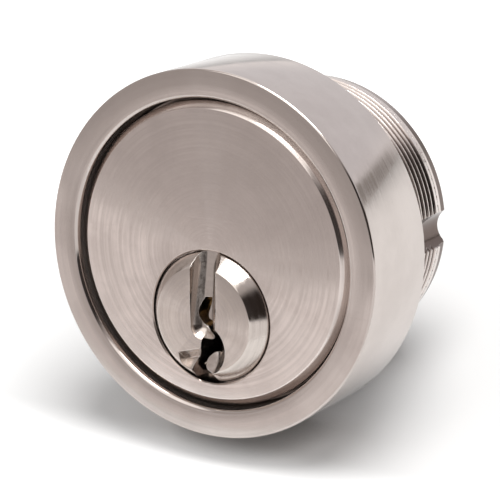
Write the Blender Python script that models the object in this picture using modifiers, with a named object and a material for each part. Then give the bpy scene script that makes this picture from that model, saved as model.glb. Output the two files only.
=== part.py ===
# Mortise cylinder for a lock case: a threaded barrel with a wide head, a trim collar that turns freely
# round it, a plug with a curved keyway, pin stacks under capped chambers, and a cam on the plug's rear end.
#
# World axes: the face looks along -Y, +Z is up, and the back of the collar, which meets the door, is y = 0.
# Turned and extruded pieces are drawn face on: x to the right, y up, z forward, out of the door.
# Sizes named "..._AT" are forward positions, measured from the door.

import math

import bmesh
import bpy

mm = 0.001

# Barrel and its head
BARREL_RADIUS = 14.6 * mm           # over the crests of the thread
BARREL_LENGTH = 19.7 * mm           # from the back of the head to the end
HEAD_OVERHANG = 0.7 * mm            # head radius beyond the barrel
HEAD_THICKNESS = 3.0 * mm
HEAD_CHAMFER = 0.75 * mm
HEAD_SINK = 0.35 * mm               # the head's face lies this far behind the collar's front
THREAD_PITCH = 0.794 * mm           # 32 to the inch; its ridges are drawn as plain rings
THREAD_DEPTH = 0.49 * mm
NECK_DEPTH = 0.55 * mm              # relief behind the head, where the thread runs out
NECK_WIDTH = 0.8 * mm               # its least width, as it also takes what is left of a pitch
END_BAND_DEPTH = 0.3 * mm           # plain band at the end of the thread
END_BAND_WIDTH = 1.6 * mm
END_CHAMFER = 0.3 * mm
GROOVE_RADIUS = 2.0 * mm            # grooves along the barrel that the case's set screw locks into
GROOVE_DEPTH = 1.35 * mm
GROOVE_STOP = 2.0 * mm              # bare barrel between a groove and the back of the head

# Collar, a loose ring between the head and the door
COLLAR_WALL = 2.85 * mm
COLLAR_DEPTH = 10.4 * mm
COLLAR_HEAD_ROOM = 0.35 * mm        # room round the head
COLLAR_BARREL_ROOM = 0.3 * mm       # room round the barrel
COLLAR_LIP_CHAMFER = 0.25 * mm
COLLAR_EDGE_CHAMFER = 0.15 * mm
COLLAR_BACK_CHAMFER = 0.3 * mm
SEAT_GAP = 0.05 * mm                # between flat faces that rest on each other

# Plug
PLUG_RADIUS = 6.35 * mm
PLUG_RUN = 0.1 * mm                 # running clearance in the barrel
WALL_UNDER_PLUG = 1.85 * mm         # barrel left under the plug's bore
PLUG_HEAD_RIM = 0.26 * mm           # the plug's head stands out this far round its body
PLUG_HEAD_ROOM = 0.14 * mm          # the dark ring round the plug's head
PLUG_HEAD_DEPTH = 2.2 * mm
PLUG_PROUD = 1.4 * mm               # from the barrel's face to the plug's face
PLUG_BEVEL_IN = 1.3 * mm            # the wide bevel round the plug's face, measured across
PLUG_BEVEL_BACK = 1.6 * mm          # and measured along the axis
PLUG_TAIL = 0.3 * mm                # the plug stands out of the barrel's rear end

# Top scoop, a round-nosed groove that leads the key into the keyway
SCOOP_RADIUS = 1.5 * mm
SCOOP_TILT = math.radians(8)        # it deepens upwards and runs out through the bevel
SCOOP_CROSSING = 2.6 * mm           # where its centre line passes the face, above the plug's axis
SCOOP_END = -0.5 * mm               # centre of its round end, above the plug's axis

# Lower dish, a ball cut that sets the right-hand ward back from the face
DISH_RADIUS = 2.8 * mm              # on the face
DISH_DEPTH = 1.3 * mm
DISH_CENTRE = (-0.25 * mm, -2.95 * mm)
DISH_LEFT_EDGE = -0.15 * mm         # the dish starts inside the keyway

# Slanting notch at the lower left of the plug's face, a V with a steep upper wall
NOTCH_EDGE = -2.75 * mm             # height of its top edge, at the keyway
NOTCH_TILT = math.radians(17)       # rise of that edge towards the keyway
NOTCH_LENGTH = 2.9 * mm
NOTCH_DEPTH = 1.0 * mm
NOTCH_STEEP = math.radians(47)      # slope of the upper wall from the face
NOTCH_GENTLE = math.radians(30)     # slope of the lower wall
NOTCH_END = -0.1 * mm               # the notch stops inside the keyway

# Pin stacks
PIN_RADIUS = 1.43 * mm
PIN_ROOM = 0.07 * mm
PIN_PITCH = 3.7 * mm
FIRST_PIN_SETBACK = 1.8 * mm        # from the back of the head to the first pin
LAST_PIN_MARGIN = 2.4 * mm          # least length of barrel behind the last pin
PIN_SEAT = -0.9 * mm                # a dropped key pin's tip, above the plug's axis
PIN_TIP_RADIUS = 0.45 * mm
PIN_TIP_HEIGHT = 0.8 * mm
PIN_CROWN = 0.2 * mm                # chamfer on the ends of the pins
SHEAR_GAP = 0.07 * mm               # from the plug's surface to either pin at the shear line
DRIVER_LENGTH = 4.4 * mm
BITTING = (2, 4, 1, 3, 2)           # steps that each key pin rises for the right key
BITTING_STEP = 0.4 * mm
LEAST_LIFT = 0.8 * mm
CAP_LENGTH = 1.9 * mm
CAP_ROOM = 0.04 * mm

# Pin springs
WIRE_RADIUS = 0.125 * mm
SPRING_ROOM = 0.12 * mm             # between a spring's coils and its chamber
SPRING_TURNS = 6
SPRING_DEAD_PITCH = 0.31 * mm       # pitch of the closed turn at each end

# Cam and its screws
CAM_THICKNESS = 2.4 * mm
CAM_HUB_OVERLAP = 0.55 * mm         # the hub reaches past the plug's bore, so it holds the plug in
CAM_REACH = 17.5 * mm               # from the plug's axis to the tip
CAM_TIP_RADIUS = 3.2 * mm
CAM_EDGE = 0.25 * mm
SCREW_OFFSET = 3.9 * mm             # each side of the plug's axis
SCREW_RISE = 0.6 * mm               # above the plug's axis
SCREW_RADIUS = 1.15 * mm
SCREW_ROOM = 0.08 * mm
SCREW_LENGTH = 6.0 * mm
SCREW_HEAD_RADIUS = 2.1 * mm
SCREW_HEAD_HEIGHT = 1.4 * mm
SCREW_SLOT_WIDTH = 0.6 * mm
SCREW_SLOT_DEPTH = 0.7 * mm

# Facets round a turn
BARREL_STEPS = 60
PLUG_STEPS = 64
PIN_STEPS = 20
BALL_STEPS = 36
SPRING_STEPS = 8
ARC_STEPS = 24

# Sizes worked out from the ones above
HEAD_RADIUS = BARREL_RADIUS + HEAD_OVERHANG
HEAD_FACE_AT = COLLAR_DEPTH - HEAD_SINK
HEAD_BACK_AT = HEAD_FACE_AT - HEAD_THICKNESS
BARREL_END_AT = HEAD_BACK_AT - BARREL_LENGTH
THREAD_BACK_AT = BARREL_END_AT + END_BAND_WIDTH
THREAD_ROOM = HEAD_BACK_AT - NECK_WIDTH - NECK_DEPTH - THREAD_BACK_AT
RIDGE_COUNT = 1 + math.floor(THREAD_ROOM / THREAD_PITCH)
THREAD_FRONT_AT = THREAD_BACK_AT + (RIDGE_COUNT - 1) * THREAD_PITCH
PLUG_BORE = PLUG_RADIUS + PLUG_RUN
PLUG_HEAD_RADIUS = PLUG_RADIUS + PLUG_HEAD_RIM
PLUG_DROP = BARREL_RADIUS - WALL_UNDER_PLUG - PLUG_BORE
PLUG_FACE_AT = HEAD_FACE_AT + PLUG_PROUD
PLUG_HEAD_BACK_AT = HEAD_FACE_AT - PLUG_HEAD_DEPTH
PLUG_END_AT = BARREL_END_AT - PLUG_TAIL
PIN_HOLE = PIN_RADIUS + PIN_ROOM
PIN_COUNT = 1 + math.floor((BARREL_LENGTH - FIRST_PIN_SETBACK - LAST_PIN_MARGIN) / PIN_PITCH)
DRIVER_BOTTOM = PLUG_RADIUS + SHEAR_GAP - PLUG_DROP
DRIVER_TOP = DRIVER_BOTTOM + DRIVER_LENGTH
CAP_BOTTOM = BARREL_RADIUS - CAP_LENGTH
KEY_PIN_TOP = math.sqrt((PLUG_RADIUS - SHEAR_GAP) ** 2 - PIN_RADIUS ** 2) + PIN_CROWN / 2
CAM_FRONT_AT = PLUG_END_AT - SEAT_GAP
CAM_BACK_AT = CAM_FRONT_AT - CAM_THICKNESS
CAM_HUB_RADIUS = PLUG_BORE + CAM_HUB_OVERLAP
OVERRUN = 2.0 * mm                  # how far a cutter runs past what it cuts
FACE_ON = (math.pi / 2, 0, 0)
UPRIGHT = (0, 0, 0)

# The keyway seen from the front, about the plug's axis, in mm; R marks a point on a round stretch
KEYWAY = (
    (-0.52, 2.06, ""), (0.22, 2.12, ""), (0.22, 1.60, "R"), (0.05, 0.90, "R"), (-0.04, 0.44, "R"),
    (0.06, 0.04, "R"), (0.56, -0.12, ""), (0.72, -0.75, "R"), (1.45, -1.45, "R"), (1.98, -2.25, "R"),
    (1.85, -3.05, ""), (1.15, -3.20, "R"), (0.24, -3.75, "R"), (-0.15, -4.45, "R"), (0.05, -5.00, "R"),
    (1.00, -5.25, ""),
)
KEYWAY_LEFT = (
    (-1.50, -5.40, "R"), (-1.20, -4.40, "R"), (-0.62, -3.55, "R"), (-0.30, -2.85, "R"), (-0.22, -2.17, ""),
    (0.60, -1.98, "R"), (0.74, -1.60, "R"), (0.10, -0.95, "R"), (-0.49, -0.52, "R"), (-0.90, 0.14, "R"),
    (-0.98, 0.84, "R"), (-0.76, 1.55, "R"),
)
KEYWAY_MOUTH = (-1.55 * mm, 1.05 * mm)      # where its sides leave the plug, at the bottom


def clear_scene():
    for obj in list(bpy.data.objects):
        bpy.data.objects.remove(obj)
    for old in list(bpy.data.collections):
        bpy.data.collections.remove(old)


def new_collection(name):
    made = bpy.data.collections.new(name)
    bpy.context.scene.collection.children.link(made)
    return made


def plain_material(name, colour, roughness, metallic):
    made = bpy.data.materials.new(name)
    made.use_nodes = True
    shader = made.node_tree.nodes["Principled BSDF"]
    shader.inputs["Base Color"].default_value = (*colour, 1)
    shader.inputs["Roughness"].default_value = roughness
    shader.inputs["Metallic"].default_value = metallic
    made.diffuse_color = (*colour, 1)
    return made


def evaluated_mesh(obj):
    """The mesh that an object's modifiers or curve settings make, with its seams closed."""
    bpy.context.view_layer.update()
    seen = obj.evaluated_get(bpy.context.evaluated_depsgraph_get())
    mesh = bpy.data.meshes.new_from_object(seen)
    work = bmesh.new()
    work.from_mesh(mesh)
    bmesh.ops.remove_doubles(work, verts=work.verts, dist=0.0005 * mm)
    bmesh.ops.recalc_face_normals(work, faces=work.faces)
    work.to_mesh(mesh)
    work.free()
    return mesh


def smooth_round(mesh):
    mesh.shade_smooth()
    mesh.set_sharp_from_angle(angle=math.radians(35))


def place(name, mesh, where=(0, 0, 0), turn=UPRIGHT):
    obj = bpy.data.objects.new(name, mesh)
    obj.location = where
    obj.rotation_euler = turn
    smooth_round(mesh)
    return obj


def as_part(obj, material, parent=None):
    parts.objects.link(obj)
    obj.data.materials.clear()
    obj.data.materials.append(material)
    if parent:
        obj.parent = parent
        obj.location = obj.location - parent.location
    return obj


def as_cutter(obj):
    cutters.objects.link(obj)
    obj.hide_render = True
    obj.display_type = "WIRE"
    return obj


def turned(profile, steps):
    """A mesh turned about z from points (radius, height), which run down the outer side. A profile that
    leaves the axis open is closed on itself, and so makes a ring."""
    mesh = bpy.data.meshes.new("profile")
    count = len(profile)
    edges = [(i, i + 1) for i in range(count - 1)]
    if profile[0][0] > 0:
        edges.append((count - 1, 0))
    mesh.from_pydata([(radius, 0, height) for radius, height in profile], edges, [])
    obj = bpy.data.objects.new("profile", mesh)
    cutters.objects.link(obj)
    screw = obj.modifiers.new("turn", "SCREW")
    screw.axis = "Z"
    screw.steps = steps
    screw.render_steps = steps
    screw.use_merge_vertices = True
    screw.merge_threshold = 0.0005 * mm
    made = evaluated_mesh(obj)
    bpy.data.objects.remove(obj)
    bpy.data.meshes.remove(mesh)
    return made


def extruded(points, thickness, resolution=4):
    """A mesh of a flat outline of points (x, y, kind), as thick as given, with z = 0 at its middle."""
    curve = bpy.data.curves.new("outline", "CURVE")
    curve.dimensions = "2D"
    curve.fill_mode = "BOTH"
    curve.extrude = thickness / 2
    curve.resolution_u = resolution
    spline = curve.splines.new("BEZIER")
    spline.bezier_points.add(len(points) - 1)
    spline.use_cyclic_u = True
    for point, (x, y, kind) in zip(spline.bezier_points, points):
        point.co = (x, y, 0)
        point.handle_left_type = "AUTO" if kind == "R" else "VECTOR"
        point.handle_right_type = point.handle_left_type
    obj = bpy.data.objects.new("outline", curve)
    cutters.objects.link(obj)
    made = evaluated_mesh(obj)
    bpy.data.objects.remove(obj)
    bpy.data.curves.remove(curve)
    return made


def rod(radius, low, high, steps):
    """A mesh of a plain rod about z, from low to high."""
    return turned([(0, high), (radius, high), (radius, low), (0, low)], steps)


def block(width, height, depth):
    mesh = bpy.data.meshes.new("block")
    work = bmesh.new()
    bmesh.ops.create_cube(work, size=1)
    bmesh.ops.scale(work, vec=(width, height, depth), verts=work.verts)
    work.to_mesh(mesh)
    work.free()
    return mesh


def cut(obj, cutter, operation="DIFFERENCE"):
    step = obj.modifiers.new(cutter.name, "BOOLEAN")
    step.operation = operation
    step.solver = "EXACT"
    step.object = cutter


def pin_forward(number):
    """Forward position of a pin stack's centre line."""
    return HEAD_BACK_AT - FIRST_PIN_SETBACK - number * PIN_PITCH


def lift_of(number):
    """How far a dropped key pin rises to the shear line."""
    return LEAST_LIFT + BITTING[number % len(BITTING)] * BITTING_STEP


def collar():
    bore = BARREL_RADIUS + COLLAR_BARREL_ROOM
    recess = HEAD_RADIUS + COLLAR_HEAD_ROOM
    outer = recess + COLLAR_WALL
    shoulder = HEAD_BACK_AT - SEAT_GAP
    profile = [
        (recess + COLLAR_LIP_CHAMFER, COLLAR_DEPTH),
        (outer - COLLAR_EDGE_CHAMFER, COLLAR_DEPTH),
        (outer, COLLAR_DEPTH - COLLAR_EDGE_CHAMFER),
        (outer, COLLAR_BACK_CHAMFER),
        (outer - COLLAR_BACK_CHAMFER, 0),
        (bore + COLLAR_BACK_CHAMFER, 0),
        (bore, COLLAR_BACK_CHAMFER),
        (bore, shoulder),
        (recess, shoulder),
        (recess, COLLAR_DEPTH - COLLAR_LIP_CHAMFER),
    ]
    as_part(place("collar", turned(profile, BARREL_STEPS), turn=FACE_ON), nickel)


def threaded_side(crest):
    """The barrel's side from the head back: the neck, then the thread's ridges, as points (radius, height)."""
    neck = crest - NECK_DEPTH
    side = [(neck, HEAD_BACK_AT), (neck, THREAD_FRONT_AT + NECK_DEPTH), (crest, THREAD_FRONT_AT)]
    for number in range(1, RIDGE_COUNT):
        height = THREAD_FRONT_AT - number * THREAD_PITCH
        side += [(crest - THREAD_DEPTH, height + THREAD_PITCH / 2), (crest, height)]
    return side


def barrel():
    band = BARREL_RADIUS - END_BAND_DEPTH
    profile = [
        (0, HEAD_FACE_AT),
        (HEAD_RADIUS - HEAD_CHAMFER, HEAD_FACE_AT),
        (HEAD_RADIUS, HEAD_FACE_AT - HEAD_CHAMFER),
        (HEAD_RADIUS, HEAD_BACK_AT),
        *threaded_side(BARREL_RADIUS),
        (band, THREAD_BACK_AT - END_BAND_DEPTH / 2),
        (band, BARREL_END_AT + END_CHAMFER),
        (band - END_CHAMFER, BARREL_END_AT),
        (0, BARREL_END_AT),
    ]
    body = as_part(place("cylinder_body", turned(profile, BARREL_STEPS), turn=FACE_ON), nickel)

    bore = [
        (0, HEAD_FACE_AT + OVERRUN),
        (PLUG_HEAD_RADIUS + PLUG_HEAD_ROOM, HEAD_FACE_AT + OVERRUN),
        (PLUG_HEAD_RADIUS + PLUG_HEAD_ROOM, PLUG_HEAD_BACK_AT - SEAT_GAP),
        (PLUG_BORE, PLUG_HEAD_BACK_AT - SEAT_GAP),
        (PLUG_BORE, BARREL_END_AT - OVERRUN),
        (0, BARREL_END_AT - OVERRUN),
    ]
    cut(body, as_cutter(place("plug_bore", turned(bore, PLUG_STEPS), (0, 0, -PLUG_DROP), FACE_ON)))

    chamber = rod(PIN_HOLE, -PLUG_DROP, BARREL_RADIUS + OVERRUN, PIN_STEPS)
    for number in range(PIN_COUNT):
        where = (0, -pin_forward(number), 0)
        cut(body, as_cutter(place(f"chamber_{number + 1}", chamber, where)))

    groove = rod(GROOVE_RADIUS, BARREL_END_AT - OVERRUN, HEAD_BACK_AT - GROOVE_STOP, ARC_STEPS)
    for side in (-1, 1):
        where = (side * (BARREL_RADIUS - GROOVE_DEPTH + GROOVE_RADIUS), 0, 0)
        cut(body, as_cutter(place(f"set_screw_groove_{side}", groove, where, FACE_ON)))


def plug():
    """The plug with its bevelled face, keyway, scoop, dish, notch, pin holes and screw holes."""
    face_radius = PLUG_HEAD_RADIUS - PLUG_BEVEL_IN
    profile = [
        (0, PLUG_FACE_AT),
        (face_radius, PLUG_FACE_AT),
        (PLUG_HEAD_RADIUS, PLUG_FACE_AT - PLUG_BEVEL_BACK),
        (PLUG_HEAD_RADIUS, PLUG_HEAD_BACK_AT),
        (PLUG_RADIUS, PLUG_HEAD_BACK_AT),
        (PLUG_RADIUS, PLUG_END_AT),
        (0, PLUG_END_AT),
    ]
    axis = (0, 0, -PLUG_DROP)
    core = as_part(place("plug", turned(profile, PLUG_STEPS), axis, FACE_ON), nickel, plug_axis)

    out = -PLUG_HEAD_RADIUS - OVERRUN
    outline = [(x * mm, y * mm, kind) for x, y, kind in KEYWAY]
    outline += [(KEYWAY_MOUTH[1], -PLUG_RADIUS, ""), (KEYWAY_MOUTH[1], out, "")]
    outline += [(KEYWAY_MOUTH[0], out, ""), (KEYWAY_MOUTH[0], -PLUG_RADIUS, "")]
    outline += [(x * mm, y * mm, kind) for x, y, kind in KEYWAY_LEFT]
    middle = (PLUG_FACE_AT + PLUG_END_AT) / 2
    length = PLUG_FACE_AT - PLUG_END_AT + 2 * OVERRUN
    where = (0, -middle, -PLUG_DROP)
    cut(core, as_cutter(place("keyway", extruded(outline, length), where, FACE_ON)))

    scoop_cutter(core)
    dish_cutter(core)
    notch_cutter(core)

    hole = [(0, PLUG_RADIUS + OVERRUN), (PIN_HOLE, PLUG_RADIUS + OVERRUN)]
    hole += [(PIN_HOLE, PIN_SEAT + PIN_TIP_HEIGHT - SEAT_GAP)]
    hole += [(PIN_TIP_RADIUS + PIN_ROOM, PIN_SEAT - SEAT_GAP), (0, PIN_SEAT - SEAT_GAP)]
    hole_mesh = turned(hole, PIN_STEPS)
    for number in range(PIN_COUNT):
        where = (0, -pin_forward(number), -PLUG_DROP)
        cut(core, as_cutter(place(f"pin_hole_{number + 1}", hole_mesh, where)))

    depth = SCREW_LENGTH - CAM_THICKNESS + OVERRUN
    hole_mesh = rod(SCREW_RADIUS + SCREW_ROOM, PLUG_END_AT - OVERRUN, PLUG_END_AT + depth, PIN_STEPS)
    for side in (-1, 1):
        where = (side * SCREW_OFFSET, 0, SCREW_RISE - PLUG_DROP)
        cut(core, as_cutter(place(f"screw_hole_{side}", hole_mesh, where, FACE_ON)))


def scoop_cutter(core):
    """A ball-nosed rod, leaning back so that the groove deepens upwards."""
    end = (SCOOP_END - SCOOP_CROSSING) / math.cos(SCOOP_TILT)
    scoop = [(0, PLUG_HEAD_RADIUS + OVERRUN), (SCOOP_RADIUS, PLUG_HEAD_RADIUS + OVERRUN)]
    for step in range(ARC_STEPS // 2 + 1):
        angle = step * math.pi / ARC_STEPS
        scoop.append((SCOOP_RADIUS * math.cos(angle), end - SCOOP_RADIUS * math.sin(angle)))
    scoop[-1] = (0, end - SCOOP_RADIUS)
    where = (0, -PLUG_FACE_AT, SCOOP_CROSSING - PLUG_DROP)
    groove = place("scoop", turned(scoop, BALL_STEPS), where, (-SCOOP_TILT, 0, 0))
    cut(core, as_cutter(groove))


def dish_cutter(core):
    """A ball, cropped so that it only reaches the metal to the right of the keyway."""
    ball = (DISH_RADIUS ** 2 + DISH_DEPTH ** 2) / (2 * DISH_DEPTH)
    arc = []
    for step in range(ARC_STEPS + 1):
        angle = math.pi / 2 - step * math.pi / ARC_STEPS
        arc.append((ball * math.cos(angle), ball * math.sin(angle)))
    arc[0] = (0, ball)
    arc[-1] = (0, -ball)
    x, y = DISH_CENTRE
    where = (x, -(PLUG_FACE_AT + ball - DISH_DEPTH), y - PLUG_DROP)
    dish = as_cutter(place("dish", turned(arc, BALL_STEPS), where, FACE_ON))
    crop = place("dish_crop", block(2 * ball, 4 * ball, 4 * ball))
    crop.location = (DISH_LEFT_EDGE - ball, where[1], where[2])
    cut(dish, as_cutter(crop))
    cut(core, dish)


def notch_cutter(core):
    """A V-shaped bar that lies across the lower left of the plug's face and ends inside the keyway."""
    valley = NOTCH_DEPTH / math.tan(NOTCH_STEEP)
    reach = NOTCH_DEPTH + OVERRUN
    outline = [
        (valley, NOTCH_DEPTH, ""),
        (valley - reach / math.tan(NOTCH_STEEP), -OVERRUN, ""),
        (valley + reach / math.tan(NOTCH_GENTLE), -OVERRUN, ""),
    ]
    middle = NOTCH_END - NOTCH_LENGTH / 2 * math.cos(NOTCH_TILT)
    height = NOTCH_EDGE - NOTCH_LENGTH / 2 * math.sin(NOTCH_TILT)
    where = (middle, -PLUG_FACE_AT, height - PLUG_DROP)
    turn = (0, math.pi / 2 - NOTCH_TILT, 0)
    cut(core, as_cutter(place("notch", extruded(outline, NOTCH_LENGTH), where, turn)))


def pin_stack(number):
    """Key pin, driver pin, spring and cap of one chamber, from the plug up."""
    forward = pin_forward(number)
    label = number + 1
    top = KEY_PIN_TOP - lift_of(number)
    key_pin = [
        (0, top),
        (PIN_RADIUS - PIN_CROWN, top),
        (PIN_RADIUS, top - PIN_CROWN),
        (PIN_RADIUS, PIN_SEAT + PIN_TIP_HEIGHT),
        (PIN_TIP_RADIUS, PIN_SEAT),
        (0, PIN_SEAT),
    ]
    where = (0, -forward, -PLUG_DROP)
    as_part(place(f"key_pin_{label}", turned(key_pin, PIN_STEPS), where), brass, plug_axis)

    driver = [
        (0, DRIVER_TOP),
        (PIN_RADIUS - PIN_CROWN, DRIVER_TOP),
        (PIN_RADIUS, DRIVER_TOP - PIN_CROWN),
        (PIN_RADIUS, DRIVER_BOTTOM + PIN_CROWN),
        (PIN_RADIUS - PIN_CROWN, DRIVER_BOTTOM),
        (0, DRIVER_BOTTOM),
    ]
    as_part(place(f"driver_pin_{label}", turned(driver, PIN_STEPS), (0, -forward, 0)), steel)

    low = DRIVER_TOP + SEAT_GAP + WIRE_RADIUS
    high = CAP_BOTTOM - SEAT_GAP - WIRE_RADIUS
    as_part(place(f"pin_spring_{label}", spring_mesh(low, high), (0, -forward, 0)), steel)

    cap = rod(PIN_HOLE - CAP_ROOM, CAP_BOTTOM, BARREL_RADIUS + OVERRUN, PIN_STEPS)
    stopper = as_part(place(f"chamber_cap_{label}", cap, (0, -forward, 0)), brass)
    cut(stopper, bpy.data.objects["barrel_outside"], "INTERSECT")


def spring_mesh(low, high):
    """A compression spring about z with one closed turn at each end."""
    radius = PIN_HOLE - SPRING_ROOM - WIRE_RADIUS
    count = SPRING_TURNS * SPRING_STEPS
    open_pitch = (high - low - 2 * SPRING_DEAD_PITCH) / (SPRING_TURNS - 2)
    curve = bpy.data.curves.new("coil", "CURVE")
    curve.dimensions = "3D"
    curve.bevel_depth = WIRE_RADIUS
    curve.bevel_resolution = 1
    curve.use_fill_caps = True
    spline = curve.splines.new("POLY")
    spline.points.add(count)
    height = low
    for index, point in enumerate(spline.points):
        turn = index / SPRING_STEPS
        angle = 2 * math.pi * turn
        point.co = (radius * math.cos(angle), radius * math.sin(angle), height, 1)
        closed = turn < 1 or turn >= SPRING_TURNS - 1
        height += (SPRING_DEAD_PITCH if closed else open_pitch) / SPRING_STEPS
    obj = bpy.data.objects.new("coil", curve)
    cutters.objects.link(obj)
    made = evaluated_mesh(obj)
    bpy.data.objects.remove(obj)
    bpy.data.curves.remove(curve)
    return made


def cam():
    """A flat cam: a hub on the plug's tail and a tapering tongue, drawn as two arcs and their tangents."""
    reach = CAM_REACH - CAM_TIP_RADIUS
    lean = math.asin((CAM_HUB_RADIUS - CAM_TIP_RADIUS) / reach)
    outline = []
    for radius, height, start, end in (
        (CAM_TIP_RADIUS, reach, math.pi - lean, lean),
        (CAM_HUB_RADIUS, 0, lean, -math.pi - lean),
    ):
        for step in range(ARC_STEPS + 1):
            angle = start + (end - start) * step / ARC_STEPS
            outline.append((radius * math.cos(angle), height + radius * math.sin(angle), ""))
    middle = (CAM_FRONT_AT + CAM_BACK_AT) / 2
    mesh = extruded(outline, CAM_THICKNESS, resolution=1)
    plate = as_part(place("cam", mesh, (0, -middle, -PLUG_DROP), FACE_ON), nickel, plug_axis)
    edge = plate.modifiers.new("edges", "BEVEL")
    edge.width = CAM_EDGE
    edge.segments = 1
    edge.limit_method = "ANGLE"
    edge.angle_limit = math.radians(60)
    hole = rod(SCREW_RADIUS + SCREW_ROOM, CAM_BACK_AT - OVERRUN, CAM_FRONT_AT + OVERRUN, PIN_STEPS)
    for side in (-1, 1):
        where = (side * SCREW_OFFSET, 0, SCREW_RISE - PLUG_DROP)
        cut(plate, as_cutter(place(f"cam_hole_{side}", hole, where, FACE_ON)))


def cam_screw(number, side):
    """A slotted pan-head screw, driven forward into the plug's tail."""
    seat = CAM_BACK_AT - SEAT_GAP
    crown = SCREW_HEAD_HEIGHT / 3
    profile = [
        (0, seat + SCREW_LENGTH),
        (SCREW_RADIUS - PIN_CROWN, seat + SCREW_LENGTH),
        (SCREW_RADIUS, seat + SCREW_LENGTH - PIN_CROWN),
        (SCREW_RADIUS, seat),
        (SCREW_HEAD_RADIUS, seat),
        (SCREW_HEAD_RADIUS, seat - SCREW_HEAD_HEIGHT + crown),
        (SCREW_HEAD_RADIUS - crown, seat - SCREW_HEAD_HEIGHT),
        (0, seat - SCREW_HEAD_HEIGHT),
    ]
    where = (side * SCREW_OFFSET, 0, SCREW_RISE - PLUG_DROP)
    screw = place(f"cam_screw_{number}", turned(profile, PIN_STEPS), where, FACE_ON)
    as_part(screw, steel, plug_axis)
    slot = place(f"screw_slot_{number}", block(4 * SCREW_HEAD_RADIUS, SCREW_SLOT_WIDTH, 2 * SCREW_SLOT_DEPTH))
    slot.location = (where[0], SCREW_HEAD_HEIGHT - seat, where[2])
    slot.rotation_euler = (math.pi / 2, math.radians(25 * side), 0)
    cut(screw, as_cutter(slot))


clear_scene()
parts = new_collection("mortise_cylinder")
cutters = new_collection("cutters")
nickel = plain_material("nickel_plate", (0.62, 0.58, 0.56), 0.28, 1.0)
brass = plain_material("brass", (0.72, 0.53, 0.24), 0.35, 1.0)
steel = plain_material("steel", (0.56, 0.57, 0.58), 0.3, 1.0)

plug_axis = bpy.data.objects.new("plug_axis", None)
plug_axis.location = (0, 0, -PLUG_DROP)
parts.objects.link(plug_axis)

outside = [(0, HEAD_BACK_AT), *threaded_side(BARREL_RADIUS - CAP_ROOM), (0, THREAD_BACK_AT)]
as_cutter(place("barrel_outside", turned(outside, BARREL_STEPS), turn=FACE_ON))

collar()
barrel()
plug()
for stack in range(PIN_COUNT):
    pin_stack(stack)
cam()
for screw_number, screw_side in enumerate((-1, 1), start=1):
    cam_screw(screw_number, screw_side)
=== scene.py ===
import math

import bmesh
import bpy
from mathutils import Matrix, Vector


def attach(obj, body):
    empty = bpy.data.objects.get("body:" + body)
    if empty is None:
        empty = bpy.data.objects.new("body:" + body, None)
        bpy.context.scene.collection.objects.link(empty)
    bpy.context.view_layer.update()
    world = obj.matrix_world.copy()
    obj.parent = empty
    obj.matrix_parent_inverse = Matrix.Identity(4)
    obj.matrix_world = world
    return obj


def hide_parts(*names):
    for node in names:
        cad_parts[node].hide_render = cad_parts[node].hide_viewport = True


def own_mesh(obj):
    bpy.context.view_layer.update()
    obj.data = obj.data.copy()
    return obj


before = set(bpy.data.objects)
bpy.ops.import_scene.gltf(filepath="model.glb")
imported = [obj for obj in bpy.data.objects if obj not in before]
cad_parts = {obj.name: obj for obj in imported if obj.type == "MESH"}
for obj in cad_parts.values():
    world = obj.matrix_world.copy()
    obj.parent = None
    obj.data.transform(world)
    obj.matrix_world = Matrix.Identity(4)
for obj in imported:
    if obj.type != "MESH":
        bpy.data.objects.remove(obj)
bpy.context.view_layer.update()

# Mortise cylinder. Pieces are drawn in millimetres. "Forward" points out of the door (world -Y), and the
# door's surface is at 0.

mm = 0.001
plugDrop = 6.3  # plug axis below the barrel's axis
scene = bpy.context.scene


# Small helpers for node trees, used for geometry, materials and the world alike

def join(tree, socket, value):
    if isinstance(value, bpy.types.Node):
        value = value.outputs[0]
    if isinstance(value, bpy.types.NodeSocket):
        tree.links.new(value, socket)
    else:
        socket.default_value = value


def node(tree, kind, values=None, **settings):
    made = tree.nodes.new(kind)
    for name, value in settings.items():
        setattr(made, name, value)
    for name, value in (values or {}).items():
        join(tree, made.inputs[name], value)
    return made


def calc(tree, operation, first, second=None, third=None):
    made = tree.nodes.new("ShaderNodeMath")
    made.operation = operation
    for socket, value in zip(made.inputs, (first, second, third)):
        if value is not None:
            join(tree, socket, value)
    return made.outputs[0]


def blend(tree, share, low, high):  # colour mix
    made = node(tree, "ShaderNodeMix", data_type="RGBA")
    join(tree, made.inputs[0], share)
    for socket, value in ((made.inputs[6], low), (made.inputs[7], high)):
        join(tree, socket, (*value, 1) if isinstance(value, tuple) else value)
    return made.outputs[2]


def ramp(tree, value, low, high, toLow=0.0, toHigh=1.0, curve="SMOOTHSTEP"):
    made = node(tree, "ShaderNodeMapRange", interpolation_type=curve)
    for index, given in enumerate((value, low, high, toLow, toHigh)):
        join(tree, made.inputs[index], given)
    return made.outputs[0]


def fromAxis(tree, place):  # distance from the barrel's axis
    spread = node(tree, "ShaderNodeVectorMath", {0: place, 1: (1, 0, 1)}, operation="MULTIPLY")
    return node(tree, "ShaderNodeVectorMath", {0: spread}, operation="LENGTH").outputs["Value"]


def newTree(name, kind, inputs, outputs):
    tree = bpy.data.node_groups.new(name, kind)
    for label, socketKind, value in inputs:
        socket = tree.interface.new_socket(label, in_out="INPUT", socket_type=socketKind)
        if value is not None:
            socket.default_value = value
    for label, socketKind in outputs:
        tree.interface.new_socket(label, in_out="OUTPUT", socket_type=socketKind)
    return tree, tree.nodes.new("NodeGroupInput"), tree.nodes.new("NodeGroupOutput")


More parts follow.
